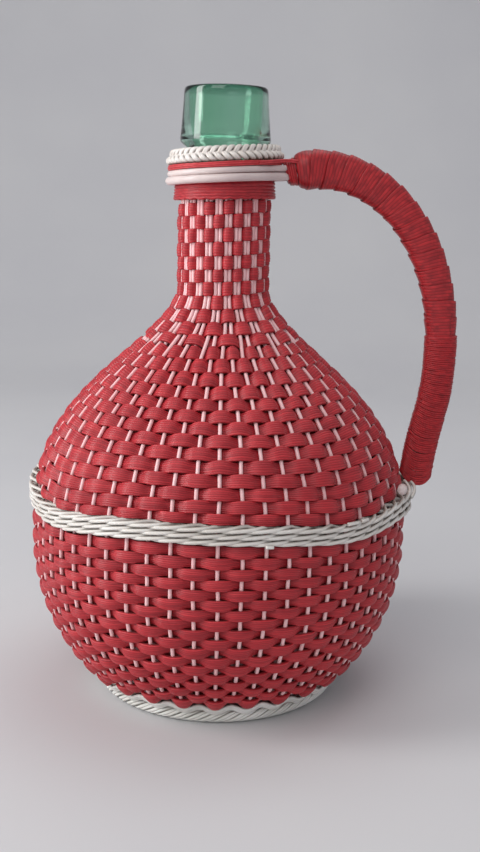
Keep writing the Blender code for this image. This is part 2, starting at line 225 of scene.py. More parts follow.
def shape(name, grid, closed, along, across, material, nodes, rise=1.0):
    """Grids of points joined into one mesh that stands for CAD nodes.

    A grid is (pieces, rows, points round, 3). Its last two sides are joined round the section and
    along the piece. A piece that does not close gets a fan of triangles over each end. The faces
    are turned outwards by the sign of the volume that they enclose. The rise of a point, from 0
    where a band goes under to 1 on its crest, is kept for the painted shade in the strands'
    material.
    """
    grid = np.asarray(grid, float)
    pieces, rows, around = grid.shape[:3]
    index = np.arange(pieces * rows * around).reshape(pieces, rows, around)
    beside = np.roll(index, -1, 2)
    quads = np.stack([index, beside, np.roll(beside, -1, 1), np.roll(index, -1, 1)], -1)
    row_uv = np.broadcast_to(np.asarray(along, float), (pieces, rows + 1))
    side_uv = np.asarray(across, float)
    u = np.broadcast_to(row_uv[:, :, None], (pieces, rows + 1, around + 1))
    v = np.broadcast_to(side_uv[None, None, :], (pieces, rows + 1, around + 1))
    uv = np.stack([u, v], -1)
    quad_uv = np.stack([uv[:, :-1, :-1], uv[:, :-1, 1:], uv[:, 1:, 1:], uv[:, 1:, :-1]], 3)
    if not closed:
        quads = quads[:, :-1]
        quad_uv = quad_uv[:, :-1]
    quads = quads.reshape(-1, 4)
    quad_uv = quad_uv.reshape(-1, 2)
    points = grid.reshape(-1, 3)
    caps = np.zeros((0, 3), int)
    cap_uv = np.zeros((0, 2))
    rise = np.broadcast_to(np.asarray(rise, float), grid.shape[:3])
    level = rise.ravel()
    if not closed:
        first = len(points)
        middle = np.concatenate([grid[:, 0].mean(1), grid[:, -1].mean(1)])
        points = np.concatenate([points, middle])
        level = np.concatenate([level, rise[:, 0, 0], rise[:, -1, 0]])
        low = np.broadcast_to(first + np.arange(pieces)[:, None], (pieces, around))
        high = low + pieces
        start = np.stack([beside[:, 0], index[:, 0], low], -1)
        end = np.stack([index[:, -1], beside[:, -1], high], -1)
        caps = np.concatenate([start.reshape(-1, 3), end.reshape(-1, 3)])
        cap_uv = np.zeros((caps.size, 2))
    tris = np.concatenate([quads[:, [0, 1, 2]], quads[:, [0, 2, 3]], caps])
    a, b, c = (points[tris[:, k]] for k in range(3))
    if np.einsum("ij,ij->i", a, np.cross(b, c)).sum() < 0:
        quads = quads[:, ::-1]
        quad_uv = quad_uv.reshape(-1, 4, 2)[:, ::-1].reshape(-1, 2)
        caps = caps[:, ::-1]
    corners = np.concatenate([quads.ravel(), caps.ravel()])
    starts = np.concatenate([np.arange(len(quads)) * 4, quads.size + np.arange(len(caps)) * 3])
    mesh = bpy.data.meshes.new(name)
    mesh.vertices.add(len(points))
    places = (points + (axis_x, 0, 0)) * METRE
    mesh.vertices.foreach_set("co", places.astype(np.float32).ravel())
    mesh.loops.add(len(corners))
    mesh.loops.foreach_set("vertex_index", corners.astype(np.int32))
    mesh.polygons.add(len(starts))
    mesh.polygons.foreach_set("loop_start", starts.astype(np.int32))
    layer = mesh.uv_layers.new(name="UVMap")
    layer.data.foreach_set("uv", np.concatenate([quad_uv, cap_uv]).astype(np.float32).ravel())
    mesh.update(calc_edges=True)
    kept = mesh.attributes.new("rise", "FLOAT", "POINT")
    kept.data.foreach_set("value", level.astype(np.float32))
    mesh.shade_smooth()
    piece = bpy.data.objects.new(name, mesh)
    bpy.context.scene.collection.objects.link(piece)
    return dress(piece, material, nodes)


def dress(piece, material, nodes):
    """Give a piece its material and body, and hide the CAD nodes that it stands for."""
    piece.data.materials.clear()
    piece.data.materials.append(material)
    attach(piece, "root")
    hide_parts(*nodes)
    return piece


def unit(vectors):
    """Vectors divided by their length."""
    return vectors / np.linalg.norm(vectors, axis=-1, keepdims=True)


def tube(path, outward, radius, sides, closed):
    """Circles round a path: path + radius (cos a N + sin a B).

    N is the outward direction with its part along the path taken away, and B is N turned a
    quarter about the path.
    """
    if closed:
        way = np.roll(path, -1, -2) - np.roll(path, 1, -2)
    else:
        way = np.gradient(path, axis=-2)
    way = unit(way)
    normal = unit(outward - (outward * way).sum(-1, keepdims=True) * way)
    side = np.cross(way, normal)
    turn = np.arange(sides) * TURN / sides
    ring = np.cos(turn)[:, None] * normal[..., None, :] + np.sin(turn)[:, None] * side[..., None, :]
    return path[..., None, :] + radius * ring


def wires(name, path, outward, radius, sides, closed, material, nodes,
          across=(0, 1), along=None):
    """Round wires along one path or several, as one piece, textured along and round each wire."""
    outward = np.broadcast_to(outward, path.shape)
    if path.ndim == 2:
        path, outward = path[None], outward[None]
    grid = tube(path, outward, radius, sides, closed)
    along = run_of(path) if along is None else along
    return shape(name, grid, closed, along, np.linspace(*across, sides + 1), material, nodes)


def polar(radius, angle, z):
    """Points from a radius, an angle round the jug and a height."""
    radius, angle, z = np.broadcast_arrays(radius, angle, z)
    return np.stack([radius * np.cos(angle), radius * np.sin(angle), z], -1)


def run_of(path):
    """Distance along each path, with one more entry for the step that closes it."""
    step = np.linalg.norm(np.roll(path, -1, -2) - path, axis=-1)
    total = np.cumsum(step, -1)
    return np.concatenate([np.zeros(total.shape[:-1] + (1,)), total], -1)


def glass_radius(z):
    """Outside of the glass: half an ellipse below the belly, a power curve into the neck above."""
    z = np.asarray(z, float)
    rise = np.clip((z - belly_height) / (neck_height - belly_height), 0, 1)
    narrow = (1 - rise ** shoulder_flare) ** shoulder_hollow
    shoulder = neck_radius + (belly_radius - neck_radius) * narrow
    fall = np.clip((belly_height - z) / belly_drop, 0, 1)
    return np.where(z > belly_height, shoulder, belly_radius * np.sqrt(1 - fall ** 2))


glass_line = np.linspace(base_height + 1.0, 318.0, 900)
glass_slope = np.gradient(glass_radius(glass_line), glass_line)
outer_line = glass_line - cover_depth * glass_slope / np.sqrt(1 + glass_slope ** 2)


def cover(z, depth):
    """Radius and height at a depth over the glass, and how upright the cover is there.

    The place on the glass is looked up from the height on the cover's outer face, and the depth
    goes out along the glass's own normal.
    """
    at = np.interp(z, outer_line, glass_line)
    slope = np.interp(at, glass_line, glass_slope)
    upright = 1 / np.sqrt(1 + slope ** 2)
    return glass_radius(at) + depth * upright, at - depth * slope * upright, upright


def round_angle(angle):
    """An angle brought between minus half a turn and half a turn."""
    return (angle + math.pi) % TURN - math.pi


def waist_shift(angle, z):
    """How far the weave is lifted by the waist rows, which do not lie quite level.

    They tilt towards the handle, and they sag between the front and either side.
    """
    near = np.exp(-((z - waist_height) / waist_reach) ** 2)
    lift = belly_radius * np.cos(angle) * waist_tilt * near
    off = round_angle(angle - FRONT)
    sag = sum(deep * np.exp(-((off - middle) / wide) ** 2) for middle, wide, deep in waist_sags)
    return lift - sag * np.exp(-((z - waist_height) / sag_reach) ** 2)


def collar_lift(x, z):
    """How far the collar is lifted towards the handle, fading out down the neck."""
    return x * collar_tilt * np.clip(1 - (collar_tilt_top - z) / collar_tilt_fade, 0, 1)


def lifted(points):
    """Points with the collar's lift added to their heights."""
    return points + collar_lift(points[..., 0], points[..., 2])[..., None] * UP


def body_angle(stake):
    """Angle of a stake round the belly, where one stake stands at the front."""
    return TURN * (stake - front_stake) / stake_count + FRONT


def neck_angle(stake):
    """Angle of a stake round the neck, where the stakes lie in pairs and in one set of three."""
    radius = neck_radius + stake_depth
    spare = (TURN * radius - stake_count * neck_wire_pitch) / neck_columns
    column = np.minimum(stake // 2, neck_columns - 1)
    run = (stake - front_stake - 0.5) * neck_wire_pitch + (column - front_column) * spare
    return run / radius + neck_turn + FRONT


def stake_angle(stake, z):
    """Even spacing below the shoulder, pairs above it, and a smooth run between."""
    share = np.clip((z - split_height) / split_length + 0.5, 0, 1)
    share = share * share * (3 - 2 * share)
    rounds = np.floor_divide(stake, stake_count)
    stake = stake - rounds * stake_count
    even = body_angle(stake)
    return even + share * (neck_angle(stake) - even) + TURN * rounds


def column_angle(column, z):
    """Middle of a pair of stakes, or of the set of three."""
    rounds = np.floor_divide(column, neck_columns)
    column = column - rounds * neck_columns
    last = np.minimum(column * 2 + 1 + (column == neck_columns - 1), stake_count - 1)
    return (stake_angle(column * 2, z) + stake_angle(last, z)) / 2 + TURN * rounds


def between(places, count, z):
    """Angle at a place between two numbered stakes or columns."""
    below = np.floor(places).astype(int)
    share = places - below
    return count(below, z) * (1 - share) + count(below + 1, z) * share


def wobble(places, size, step, seed):
    """Smooth noise along a run: random values every step, joined by cosine curves."""
    values = np.random.default_rng(seed).normal(0, 1, NOISE_VALUES)
    at = places / step
    low = np.floor(at).astype(int)
    share = (1 - np.cos((at - low) * math.pi)) / 2
    here, there = values[low % NOISE_VALUES], values[(low + 1) % NOISE_VALUES]
    return size * (here * (1 - share) + there * share)


def band_section(strands):
    """Across a band: share of its half width, height of its face, and strand number.

    The outer face has one low ridge per strand, and the inner face is flat.
    """
    place = [0.0]
    ridge = [0.0]
    for strand in range(strands):
        place += [strand + 0.22, strand + 0.78, strand + 1.0]
        ridge += [1.0, 1.0, 0.0]
    place = np.array(place)
    outer = np.stack([2 * place / strands - 1, ridge], -1)
    inner = np.array([[0.94, -1.0], [0.0, -1.0], [-0.94, -1.0]])
    number = np.concatenate([place, [strands, strands / 2, 0.0]])
    return np.concatenate([outer, inner]), np.append(number, number[0])


def face_depth(section, groove, thickness):
    """How far each point of a band's section lies below its ridges."""
    return np.where(section[:, 1] > 0, 0.0, np.where(section[:, 1] < 0, thickness, groove))


def weave(name, nodes, fronts, limits, first, last, columns, per_column, strands, square, phase,
          seed, bias, proud=0.0, hang=0.0):
    """Rows of weave as one spiral band that goes over one stake and under the next.

    With c counting the stakes it crosses, the band's edges lie midway between the turns, and its
    depth is the stakes' depth + swing (w + bias (1 - w w)), where w is cos(pi (c + phase)) to the
    power square, with its sign kept, so that it stays out for longer than it stays in. It is a
    little narrower halfway between two stakes, where all the turns lie at one depth. The tips of
    the lowest turn can hang down over the foot. A piece of band stops a little short of the next.
    """
    at_belly = columns == stake_count
    front = front_stake if at_belly else front_column
    steps = (last - first) * columns * per_column
    crossings = np.linspace(first * columns, last * columns, steps + 1)
    crossings[-1] -= end_gap
    turns = (crossings - front) / columns
    fronts = np.array(fronts)
    low_step, high_step = fronts[1] - fronts[0], fronts[-1] - fronts[-2]
    heights = np.concatenate([fronts[0] - low_step * np.array([2, 1]), fronts,
                              fronts[-1] + high_step * np.array([1, 2])])
    counted = np.arange(-2, len(fronts) + 2)
    below, here, above = (np.interp(turns + k, counted, heights) for k in (-1, 0, 1))
    low = np.clip((below + here) / 2, *limits)
    high = np.clip((here + above) / 2, *limits)
    full = np.clip((high - low) / low_step, 0, 1)
    middle = (low + high) / 2 + wobble(crossings, row_wander, 0.5, seed) * full
    angle = between(crossings, stake_angle if at_belly else column_angle, middle)
    wave = np.cos(math.pi * (crossings + phase))
    wave = np.sign(wave) * np.abs(wave) ** square
    wave = wave + bias * (1 - wave ** 2)
    upright = cover(middle, 0.0)[2]
    half = row_fill * (high - low) * (1 + wobble(crossings, width_wander, 0.5, seed + 1))
    crest = crest_swell + wobble(crossings, crest_wander, 1.0, seed + 2)
    swell = np.where(wave > 0, crest, hollow_swell)
    half = half + (least_swell + swell * wave ** 2 * upright) * full
    section, number = band_section(strands)
    z = middle[:, None] + half[:, None] * section[:, 0]
    z = z + waist_shift(angle[:, None], z)
    slack = wobble(crossings, 1.0, 1.0, seed + 3).clip(-0.7, 0.0)
    swing = (band_swing + proud * (wave > 0)) * (1 + swing_wander * slack)
    crown = band_crown * (1 - section[:, 0] ** 2) * (section[:, 1] >= 0) - band_crown
    depth = stake_depth + swing[:, None] * wave[:, None] + band_thickness / 2
    depth = depth - face_depth(section, band_groove, band_thickness) + crown
    radius, level, _ = cover(z, np.maximum(depth, least_depth))
    tip = hang * np.clip(tip_turns - turns, 0, 1)[:, None]
    tip = tip * np.clip(wave, 0, 1)[:, None] ** tip_power
    tip = tip * np.clip(-section[:, 0], 0, 1) ** tip_power * full[:, None]
    points = lifted(polar(radius - tip_tuck * tip, angle[:, None], level - tip))
    along = np.append(crossings, crossings[-1])
    rise = (wave[None, :, None] + 1) / 2
    return shape(name, points[None], False, along, number, red_strand, nodes, rise)


def lathe(name, outline, steps, material, nodes, scallop=None):
    """A closed outline (radius, height) turned about the axis: one copy of it at every angle."""
    turn = np.arange(steps) * TURN / steps
    outline = np.asarray(outline, float)
    points = polar(outline[None, :, 0], turn[:, None], outline[None, :, 1])
    if scallop is not None:
        points = scallop(points, turn)
    sides = np.linalg.norm(np.roll(outline, -1, 0) - outline, axis=1)
    across = np.concatenate([[0], np.cumsum(sides)])
    along = np.append(turn, TURN) * outline[:, 0].max()
    return shape(name, points[None], True, along, across, material, nodes)


def smooth_line(corners, count):
    """A Catmull-Rom curve through corners, with count points to each span."""
    p = np.asarray(corners, float)
    p = np.concatenate([[2 * p[0] - p[1]], p, [2 * p[-1] - p[-2]]])
    t = np.linspace(0, 1, count, endpoint=False)[None, :, None]
    a, b, c, d = (p[k:len(p) - 3 + k, None] for k in range(4))
    square = (2 * a - 5 * b + 4 * c - d) * t ** 2
    curve = 0.5 * (2 * b + (c - a) * t + square + (3 * b - a - 3 * c + d) * t ** 3)
    return np.concatenate([curve.reshape(-1, p.shape[1]), p[-2:-1]])


def make_glass():
    """The bottle, turned: outer face from the lip down to the punt, and the inner face back up."""
    lip = smooth_line([(20.9, 343.2), (21.4, 344.2), (22.1, 344.5), (22.8, 344.0), (23.3, 342.4),
                       (23.7, 336.0), (24.3, 328.0), (25.0, 320.0), (25.3, 316.6), (24.9, 315.0),
                       (22.9, 313.2), (20.7, 311.4), (20.1, 308.0)], 4)
    wall = np.linspace(303.0, 17.0, 150)
    outer = np.stack([glass_radius(wall), wall], -1)
    base = smooth_line([(base_radius + heel_round, base_height + 1.2), (base_radius, base_height),
                        (50.0, base_height + 0.3), (40.0, base_height + 1.8),
                        (24.0, base_height + 5.4), (0.0, base_height + 7.0)], 5)
    floor = smooth_line([(0.0, base_height + 10.6), (24.0, base_height + 9.0),
                         (42.0, base_height + 5.2), (58.0, base_height + 4.6),
                         (66.0, base_height + 8.0)], 5)
    rise = np.linspace(24.0, 301.0, 90)
    inner = np.stack([np.maximum(glass_radius(rise) - glass_wall, bore_radius), rise], -1)
    throat = smooth_line([(bore_radius, 306.0), (16.4, 311.0), (18.9, 317.0), (19.9, 325.0),
                          (20.2, 334.0), (20.5, 341.5)], 4)
    outline = np.concatenate([lip, outer, base, floor, inner, throat])
    piece = lathe("glass_bottle_blown", outline, 128, green_glass, ["glass_bottle"])
    work = bmesh.new()
    work.from_mesh(piece.data)
    bmesh.ops.remove_doubles(work, verts=work.verts, dist=1e-6)
    bmesh.ops.dissolve_degenerate(work, edges=work.edges, dist=1e-6)
    work.to_mesh(piece.data)
    work.free()


def make_stakes():
    """Round wires from the cross under the bottle up to the plait, and the hub of the cross."""
    start = np.array([(24.4, 11.1), (34.0, 11.1), (46.0, 11.1), (57.0, 11.15), (63.0, 11.6),
                      (68.4, 13.4)])
    radius, level, _ = cover(np.linspace(17.5, stake_top, 92), stake_depth)
    radius = np.concatenate([start[:, 0], radius])
    level = np.concatenate([start[:, 1], level])
    number = np.arange(stake_count)[:, None]
    angle = stake_angle(number, level[None, :])
    free = np.clip((level - 20) / 30, 0, 1) * np.clip((split_height - level) / 30, 0, 1)
    sway = wobble(level[None, :] + number * 777.0, stake_sway, 14.0, 41)
    angle = angle + sway * free / np.maximum(radius, 30)
    path = polar(radius[None, :], angle, level[None, :])
    path = lifted(path + waist_shift(angle, level[None, :])[..., None] * UP)
    sideways = polar(1.0, angle + TURN / 4, np.zeros_like(angle))
    wires("stake_wires", path, sideways, stake_radius, 8, False, stake_pink_painted_light,
          ["stakes"])
    hub = [(1.0, hub_bottom), (22.6, hub_bottom), (23.4, 10.7), (23.4, 11.5), (22.6, hub_top),
           (1.0, hub_top)]
    lathe("stake_hub", hub, 48, tube_white, ["stakes"])


def make_bottom_weave():
    """A flat spiral of bands under the bottle, from the hub out to the foot."""
    per_turn = 2 * stake_count
    turns = np.linspace(0, bottom_turns, bottom_turns * per_turn + 1)
    section, number = band_section(5)
    radius = (bottom_start + turns * bottom_pitch)[:, None] + bottom_half_width * section[:, 0]
    angle = turns * TURN + FRONT
    wave = np.cos(turns * stake_count * math.pi)[:, None]
    z = bottom_height + bottom_swing * wave + face_depth(section, bottom_groove, bottom_thickness)
    points = polar(radius, angle[:, None], z)
    along = np.append(turns, turns[-1]) * per_turn
    shape("bottom_weave_bands", points[None], False, along, number, red_strand,
          ["bottom_weave"])


def make_foot_ring():
    """A rope of pairs of wires wound round the foot's oval section, with arcs of wire on top.

    A wire at angle a lies at the middle radius + half width cos b + lean (z - middle height) and
    at the height z = middle height + half height sin b, where b grows by eleven turns for every
    turn of a. The three arcs rise between the stakes that the lowest row of weave goes over.
    """
    steps = stake_count * 12
    a = np.arange(steps)[None, :] * TURN / steps
    pair = np.arange(foot_pairs)[:, None, None] / foot_pairs * TURN
    lanes = (pair + np.array([-0.25, 0.25])[:, None]).reshape(-1, 1)
    b = a * stake_count / foot_pairs + lanes
    z = foot_middle + foot_half_height * np.sin(b)
    radius = foot_radius + foot_half_width * np.cos(b) + foot_lean * (z - foot_middle)
    outward = polar(np.cos(b), a + 0 * b, np.sin(b))
    wires("foot_rope", polar(radius, a, z), outward, foot_wire_radius, 7, True, foot_white,
          ["foot_ring"])
    crossings = np.linspace(0.2, stake_count - 1.2, steps)[None, :]
    lane = np.array([0.0, 1.0, 2.0])[:, None]
    a = body_angle(crossings) + 0 * lane
    arc = np.cos(math.pi * crossings)
    radius = arc_radius - 1.1 * lane - 0.5 * arc
    path = polar(radius, a, arc_height - 1.15 * lane - arc_rise * arc)
    wires("foot_arcs", path, polar(1.0, a, 0 * a), foot_wire_radius, 7, False, foot_white,
          ["foot_ring"])


def make_waist():
    """Three tiers of wale, each one wire that goes three times round.

    The wire passes outside two stakes, rising from the tier's lower edge to its upper edge, and
    behind the third. Its phase p runs from 0 to 1 over three stakes; its radius is
    wale_radius + wale_swing cos s - wale_flat cos 2 s, where s = 2 pi (p - 0.3). The tiers lie
    lower, further out and further apart where the handle stands on them.
    """
    a = np.arange(stake_count * 24) * 3 * TURN / (stake_count * 24)
    spread = np.exp(-(round_angle(a - spread_angle) / spread_width) ** 2)
    for tier in range(3):
        p = (a * stake_count / TURN / 3 + 0.5 + tier * 0.21) % 1.0
        swing = TURN * (p - 0.30)
        out = wale_radius + wale_swing * np.cos(swing) - wale_flat * np.cos(2 * swing)
        out = out + 2.2 * spread
        outside = np.sin(TURN * 0.75 * (p - 1 / 3))
        rise = np.where(p < 2 / 3, outside, np.cos(3 * math.pi * (p - 2 / 3)))
        z = (tier - 1) * wale_pitch + wale_rise * rise
        z = waist_height - 1.5 * spread + z * (1 + 0.45 * spread)
        path = polar(out, a, z + waist_shift(a, z))
        wires(f"waist_wale_{tier + 1}", path, polar(1.0, a, 0 * a), wale_wire_radius, 7, True,
              white_wire, [f"waist_row_{tier + 1}"])
    make_waist_ends()


def make_waist_ends():
    """Two wires that turn up to the handle's foot, and the cut ends of three others."""
    hooks = [[(106.1, -33.0, 120.5), (108.1, -28.0, 122.1), (109.0, -22.5, 123.7),
              (108.7, -17.0, 124.9), (107.5, -12.0, 126.0)],
             [(109.6, -27.0, 119.8), (111.6, -23.0, 121.8), (112.5, -19.0, 123.4),
              (112.5, -15.0, 124.3), (111.7, -11.5, 125.1)]]
    path = np.stack([smooth_line(corners, 8) for corners in hooks])
    wires("waist_hook_wires", path, UP, 0.98, 7, False, white_wire, ["waist_row_3"])
    ends = []
    for first, last, radius, z in ((-53.0, -48.6, 110.6, 126.6), (-47.6, -45.2, 110.8, 126.9),
                                   (-77.8, -75.8, 112.1, 116.6)):
        a = np.radians(np.linspace(first, last, 5))
        ends.append(polar(radius, a, z + waist_shift(a, z)))
    ends = np.stack(ends)
    wires("waist_cut_ends", ends, ends * OUT, 1.0, 8, False, white_wire,
          ["waist_row_3"])


def make_collar():
    """Collar band, thin red ring with its tails, plait and the two tubes round the collar."""
    outline = [(collar_inner, collar_bottom)]
    for k in range(collar_strands):
        low = collar_bottom + k * collar_strand_step
        face = collar_face - 0.12 * k
        outline += [(face - collar_groove, low), (face, low + 0.42), (face, low + 1.25)]
    outline += [(collar_back, collar_bottom + collar_strands * collar_strand_step),
                (collar_back, collar_top), (collar_inner, collar_top)]

    def scallop(points, turn):
        """The lower edge is lifted at the pairs of stakes, and the lift fades out up the band."""
        wave = np.abs(np.sin(neck_columns / 2 * (turn - FRONT - neck_turn)))
        lift = collar_scallop - collar_scallop * wave
        fade = np.clip(1 - (points[..., 2] - collar_bottom) / scallop_fade, 0, 1)
        return lifted(points + (lift[:, None] * fade)[..., None] * UP)

    lathe("collar_band_strands", outline, 270, red_strand, ["collar_band"], scallop)
    lane = np.arange(3)[:, None] * 1.0
    a = np.linspace(0, TURN, 240, endpoint=False)[None, :]
    level = ring_height + lane * ring_strand_step + 0.08 * np.sin(5 * a + lane)
    path = lifted(polar(ring_radius - 0.3 * np.abs(lane - 1), a + 0 * lane, level))
    wires("collar_ring_strands", path, polar(1.0, a + 0 * lane, 0 * level), 0.55, 6, True,
          ring_strand, ["collar_ring"], across=(0.4, 0.6))
    corners = np.array([(18.4, -26.9, 303.35), (24.5, -21.9, 304.15), (29.5, -16.6, 304.75),
                        (34.0, -11.7, 305.2), (38.0, -9.4, 305.1), (41.5, -7.4, 304.6)])
    tails = np.stack([smooth_line(corners * (1, -side, 1) + (0.25 * k, 0, 0.95 * k), 6)
                      for side in (-1, 1) for k in (0, 1)])
    wires("collar_ring_tails", tails, tails * OUT, 0.52, 6, False, ring_strand,
          ["collar_ring"], across=(0.4, 0.6))
    make_plait()
    for name, z, thick, out in (("upper", 299.4, 1.72, 30.6), ("lower", 295.3, 2.25, 31.1)):
        path = collar_route(z, out)
        wires("collar_tube_white_" + name, path, unit(path * OUT), thick, 14, False, tube_white,
              ["collar_tube_" + name])


def collar_route(z, radius):
    """Once round the collar, with both tails running side by side into the handle's wrap."""
    gather = (33.9, tube_tail_y + 2.2)
    level = z + float(collar_lift(gather[0], z))
    start = handle_start[0]
    leave = math.atan2(gather[1], gather[0]) + math.acos(radius / math.hypot(*gather))
    turns = np.linspace(leave, TURN - leave, 97)
    ring = lifted(polar(radius, turns, np.full_like(turns, z)))
    tail = np.array([(start + 6.0, tube_tail_y, level + 1.2),
                     (start + 4.2, tube_tail_y, level + 0.6),
                     (start + 2.6, tube_tail_y + 0.2, level + 0.2),
                     (start + 1.0, tube_tail_y + 1.1, level),
                     (gather[0] - 0.8, gather[1] + 0.4, level)])
    return np.concatenate([tail, ring, tail[::-1] * (1, -1, 1)])


def make_plait():
    """A braid of three pairs of wires; a wire lies at rise sin f up its face and swing sin 2f out.

    Its face leans back from upright by plait_lean, and f grows by plait_periods turns in a round.
    """
    steps = plait_periods * 28
    a = np.arange(steps)[None, :] * TURN / steps
    strand = np.repeat(np.arange(3), 2)[:, None] * TURN / 3
    lane = np.tile([-0.26, 0.26], 3)[:, None]
    f = plait_periods * a + strand + lane
    up = plait_rise * np.sin(f)
    out = plait_swing * np.sin(2 * f)
    c, s = math.cos(plait_lean), math.sin(plait_lean)
    radius = plait_radius + out * c - up * s
    path = lifted(polar(radius, a + 0 * f, plait_height + up * c + out * s))
    outward = polar(c, a + 0 * f, s)
    wires("collar_braid", path, outward, plait_wire_radius, 7, True, plait_white,
          ["collar_plait"])


def bezier(points, count):
    """Points along one cubic Bezier span."""
    t = np.linspace(0, 1, count)[:, None]
    a, b, c, d = (np.array(p, float) for p in points)
    return (1 - t) ** 3 * a + 3 * (1 - t) ** 2 * t * b + 3 * (1 - t) * t ** 2 * c + t ** 3 * d


def handle_line():
    """The handle's middle line in the XZ plane: two Bezier spans that meet at its widest reach.

    It is drawn on past the foot, for the sides of the wrap that hang over the waist.
    """
    x, z = handle_start
    span = (handle_reach - x) * 0.545
    drop = (z - handle_reach_height) * 0.685
    fall = (handle_reach_height - handle_foot[1]) * 0.506
    far = (handle_reach, handle_reach_height)
    rise = (x + span * math.cos(handle_start_rise), z + span * math.sin(handle_start_rise))
    upper = bezier([(x, z), rise, (far[0], far[1] + drop), far], 160)
    lean = np.array([math.sin(handle_foot_lean), math.cos(handle_foot_lean)])
    bend = (handle_foot[0] + fall * lean[0], handle_foot[1] + fall * lean[1])
    lower = bezier([far, (far[0], far[1] - fall), bend, handle_foot], 120)
    past = np.array(handle_foot) - handle_past * lean
    return np.concatenate([upper, lower[1:], past[None]])


def handle_at(distance):
    """Place and outward normal at distances along the handle's line, and its length to the foot."""
    line = handle_line()
    run = np.concatenate([[0], np.cumsum(np.hypot(*np.diff(line, axis=0).T))])
    way = np.gradient(line, run, axis=0)
    place = np.stack([np.interp(distance, run, line[:, k]) for k in (0, 1)], -1)
    along = unit(np.stack([np.interp(distance, run, way[:, k]) for k in (0, 1)], -1))
    return place, np.stack([-along[..., 1], along[..., 0]], -1), run[-1] - handle_past


def wrap_half(distance, length):
    """Half width in the handle's plane and half depth across it, at a distance along."""
    near = np.clip(1 - distance / handle_start_length, 0, 1) ** 1.5
    foot = np.clip((distance / length - 0.75) / 0.25, 0, 1)
    width = handle_width + (handle_start_width - handle_width) * near + 0.4 * foot
    grown = np.clip((distance - handle_throat_length) / handle_throat_step, 0, 1)
    width = handle_throat_width + (width - handle_throat_width) * grown
    start = np.clip(1.9 - distance / 14.0, 0, 1)
    depth = handle_depth + (handle_start_depth - handle_depth) * start
    return width / 2, depth / 2


def wrap_point(distance, turn, sink):
    """A point of the wrap: the handle's oval section at a distance, an angle and a sunk depth."""
    place, normal, length = handle_at(distance)
    width, depth = wrap_half(distance, length)
    c = np.sign(np.cos(turn)) * np.abs(np.cos(turn)) ** wrap_power
    s = np.sign(np.sin(turn)) * np.abs(np.sin(turn)) ** wrap_power
    reach = (width - sink) * c
    return np.stack([place[..., 0] + reach * normal[..., 0], (depth - sink) * s,
                     place[..., 1] + reach * normal[..., 1]], -1)


def wrap_outward(distance, turn):
    """The direction out of the wrap at a distance and an angle."""
    normal = handle_at(distance)[1]
    return np.stack([normal[..., 0] * np.cos(turn), np.sin(turn) + 0 * distance,
                     normal[..., 1] * np.cos(turn)], -1)


def make_handle():
    """Two core tubes under a wide wound band above and a close winding of one strand below."""
    length = handle_at(0.0)[2]
    stops = np.linspace(handle_throat_length + handle_throat_step + 0.3, length - 0.2, 70)
    for side, node in ((1, "handle_core_outer"), (-1, "handle_core_inner")):
        place, normal, _ = handle_at(stops)
        route = place + side * (core_diameter + core_gap) / 2 * normal
        path = np.stack([route[:, 0], 0 * route[:, 0], route[:, 1]], -1)
        wires(node + "_tube", path, (0, 1, 0), core_diameter / 2, 16, False, core_white,
              [node])
    stub = smooth_line([(100.3, -49.6, 129.9), (100.8, -46.8, 129.7), (101.3, -44.0, 129.5)], 4)
    wires("handle_core_cut_end", stub, UP, 2.7, 16, False, tube_white,
          ["handle_core_inner"])
    pitch = length / wrap_loops
    split = pitch * wrap_upper_loops
    make_throat()
    make_wrap_band(pitch, split)
    make_wrap_strand(split, length - split)


def make_throat():
    """Single strands round the narrow start of the wrap, one for each of throat_sinks."""
    turn = np.arange(64)[None, :] * TURN / 64
    sink = np.array(throat_sinks)[:, None]
    distance = 0.45 + throat_pitch * np.arange(len(sink))[:, None] + 0.3 * np.sin(turn)
    wires("handle_throat_strands", wrap_point(distance, turn, sink), wrap_outward(distance, turn),
          0.68, 7, True, handle_strand, ["handle_wrap_upper"], across=(0.4, 0.6))


def make_wrap_band(pitch, split):
    """The wide band, wound in a spiral whose turns overlap and wander a little.

    Its first and last turns are level, and it starts as a cone.
    """
    section, number = band_section(6)
    half = pitch * band_half_width
    begin, finish = band_begin + half, split - half + 0.3
    turns = 2 * band_level_turns + (finish - begin) / pitch
    t = np.linspace(0, turns, int(turns * 56) + 1)
    turn = t * TURN
    free = np.clip(t - 1.2, 0, 1) * np.clip(turns - 1.2 - t, 0, 1)
    roll = band_roll * np.sin(turn + 2.1 * np.sin(t * 0.9))
    lane = (wobble(t, band_wander, 0.5, 91) + roll) * free
    gone = np.clip((t - band_level_turns) / (turns - 2 * band_level_turns), 0, 1)
    middle = begin + (finish - begin) * gone + lane
    distance = middle[:, None] + half * section[:, 0]
    slack = wobble(t, 0.14, 0.7, 92).clip(-0.1, 0.4)[:, None]
    sink = 0.2 + face_depth(section, wound_groove, wound_thickness)
    sink = sink + band_slope * (1 + section[:, 0]) + slack
    sink = sink + band_cone * np.clip(1 - (distance - band_begin) / band_cone_length, 0, 1) ** 2
    distance = distance.clip(band_begin, split + 0.2)
    points = wrap_point(distance, turn[:, None], sink.clip(0.05, band_deepest))
    along = np.append(turn, turn[-1]) * wrap_texture
    shape("handle_wrap_band", points[None], False, along, number, handle_strand,
          ["handle_wrap_upper"])


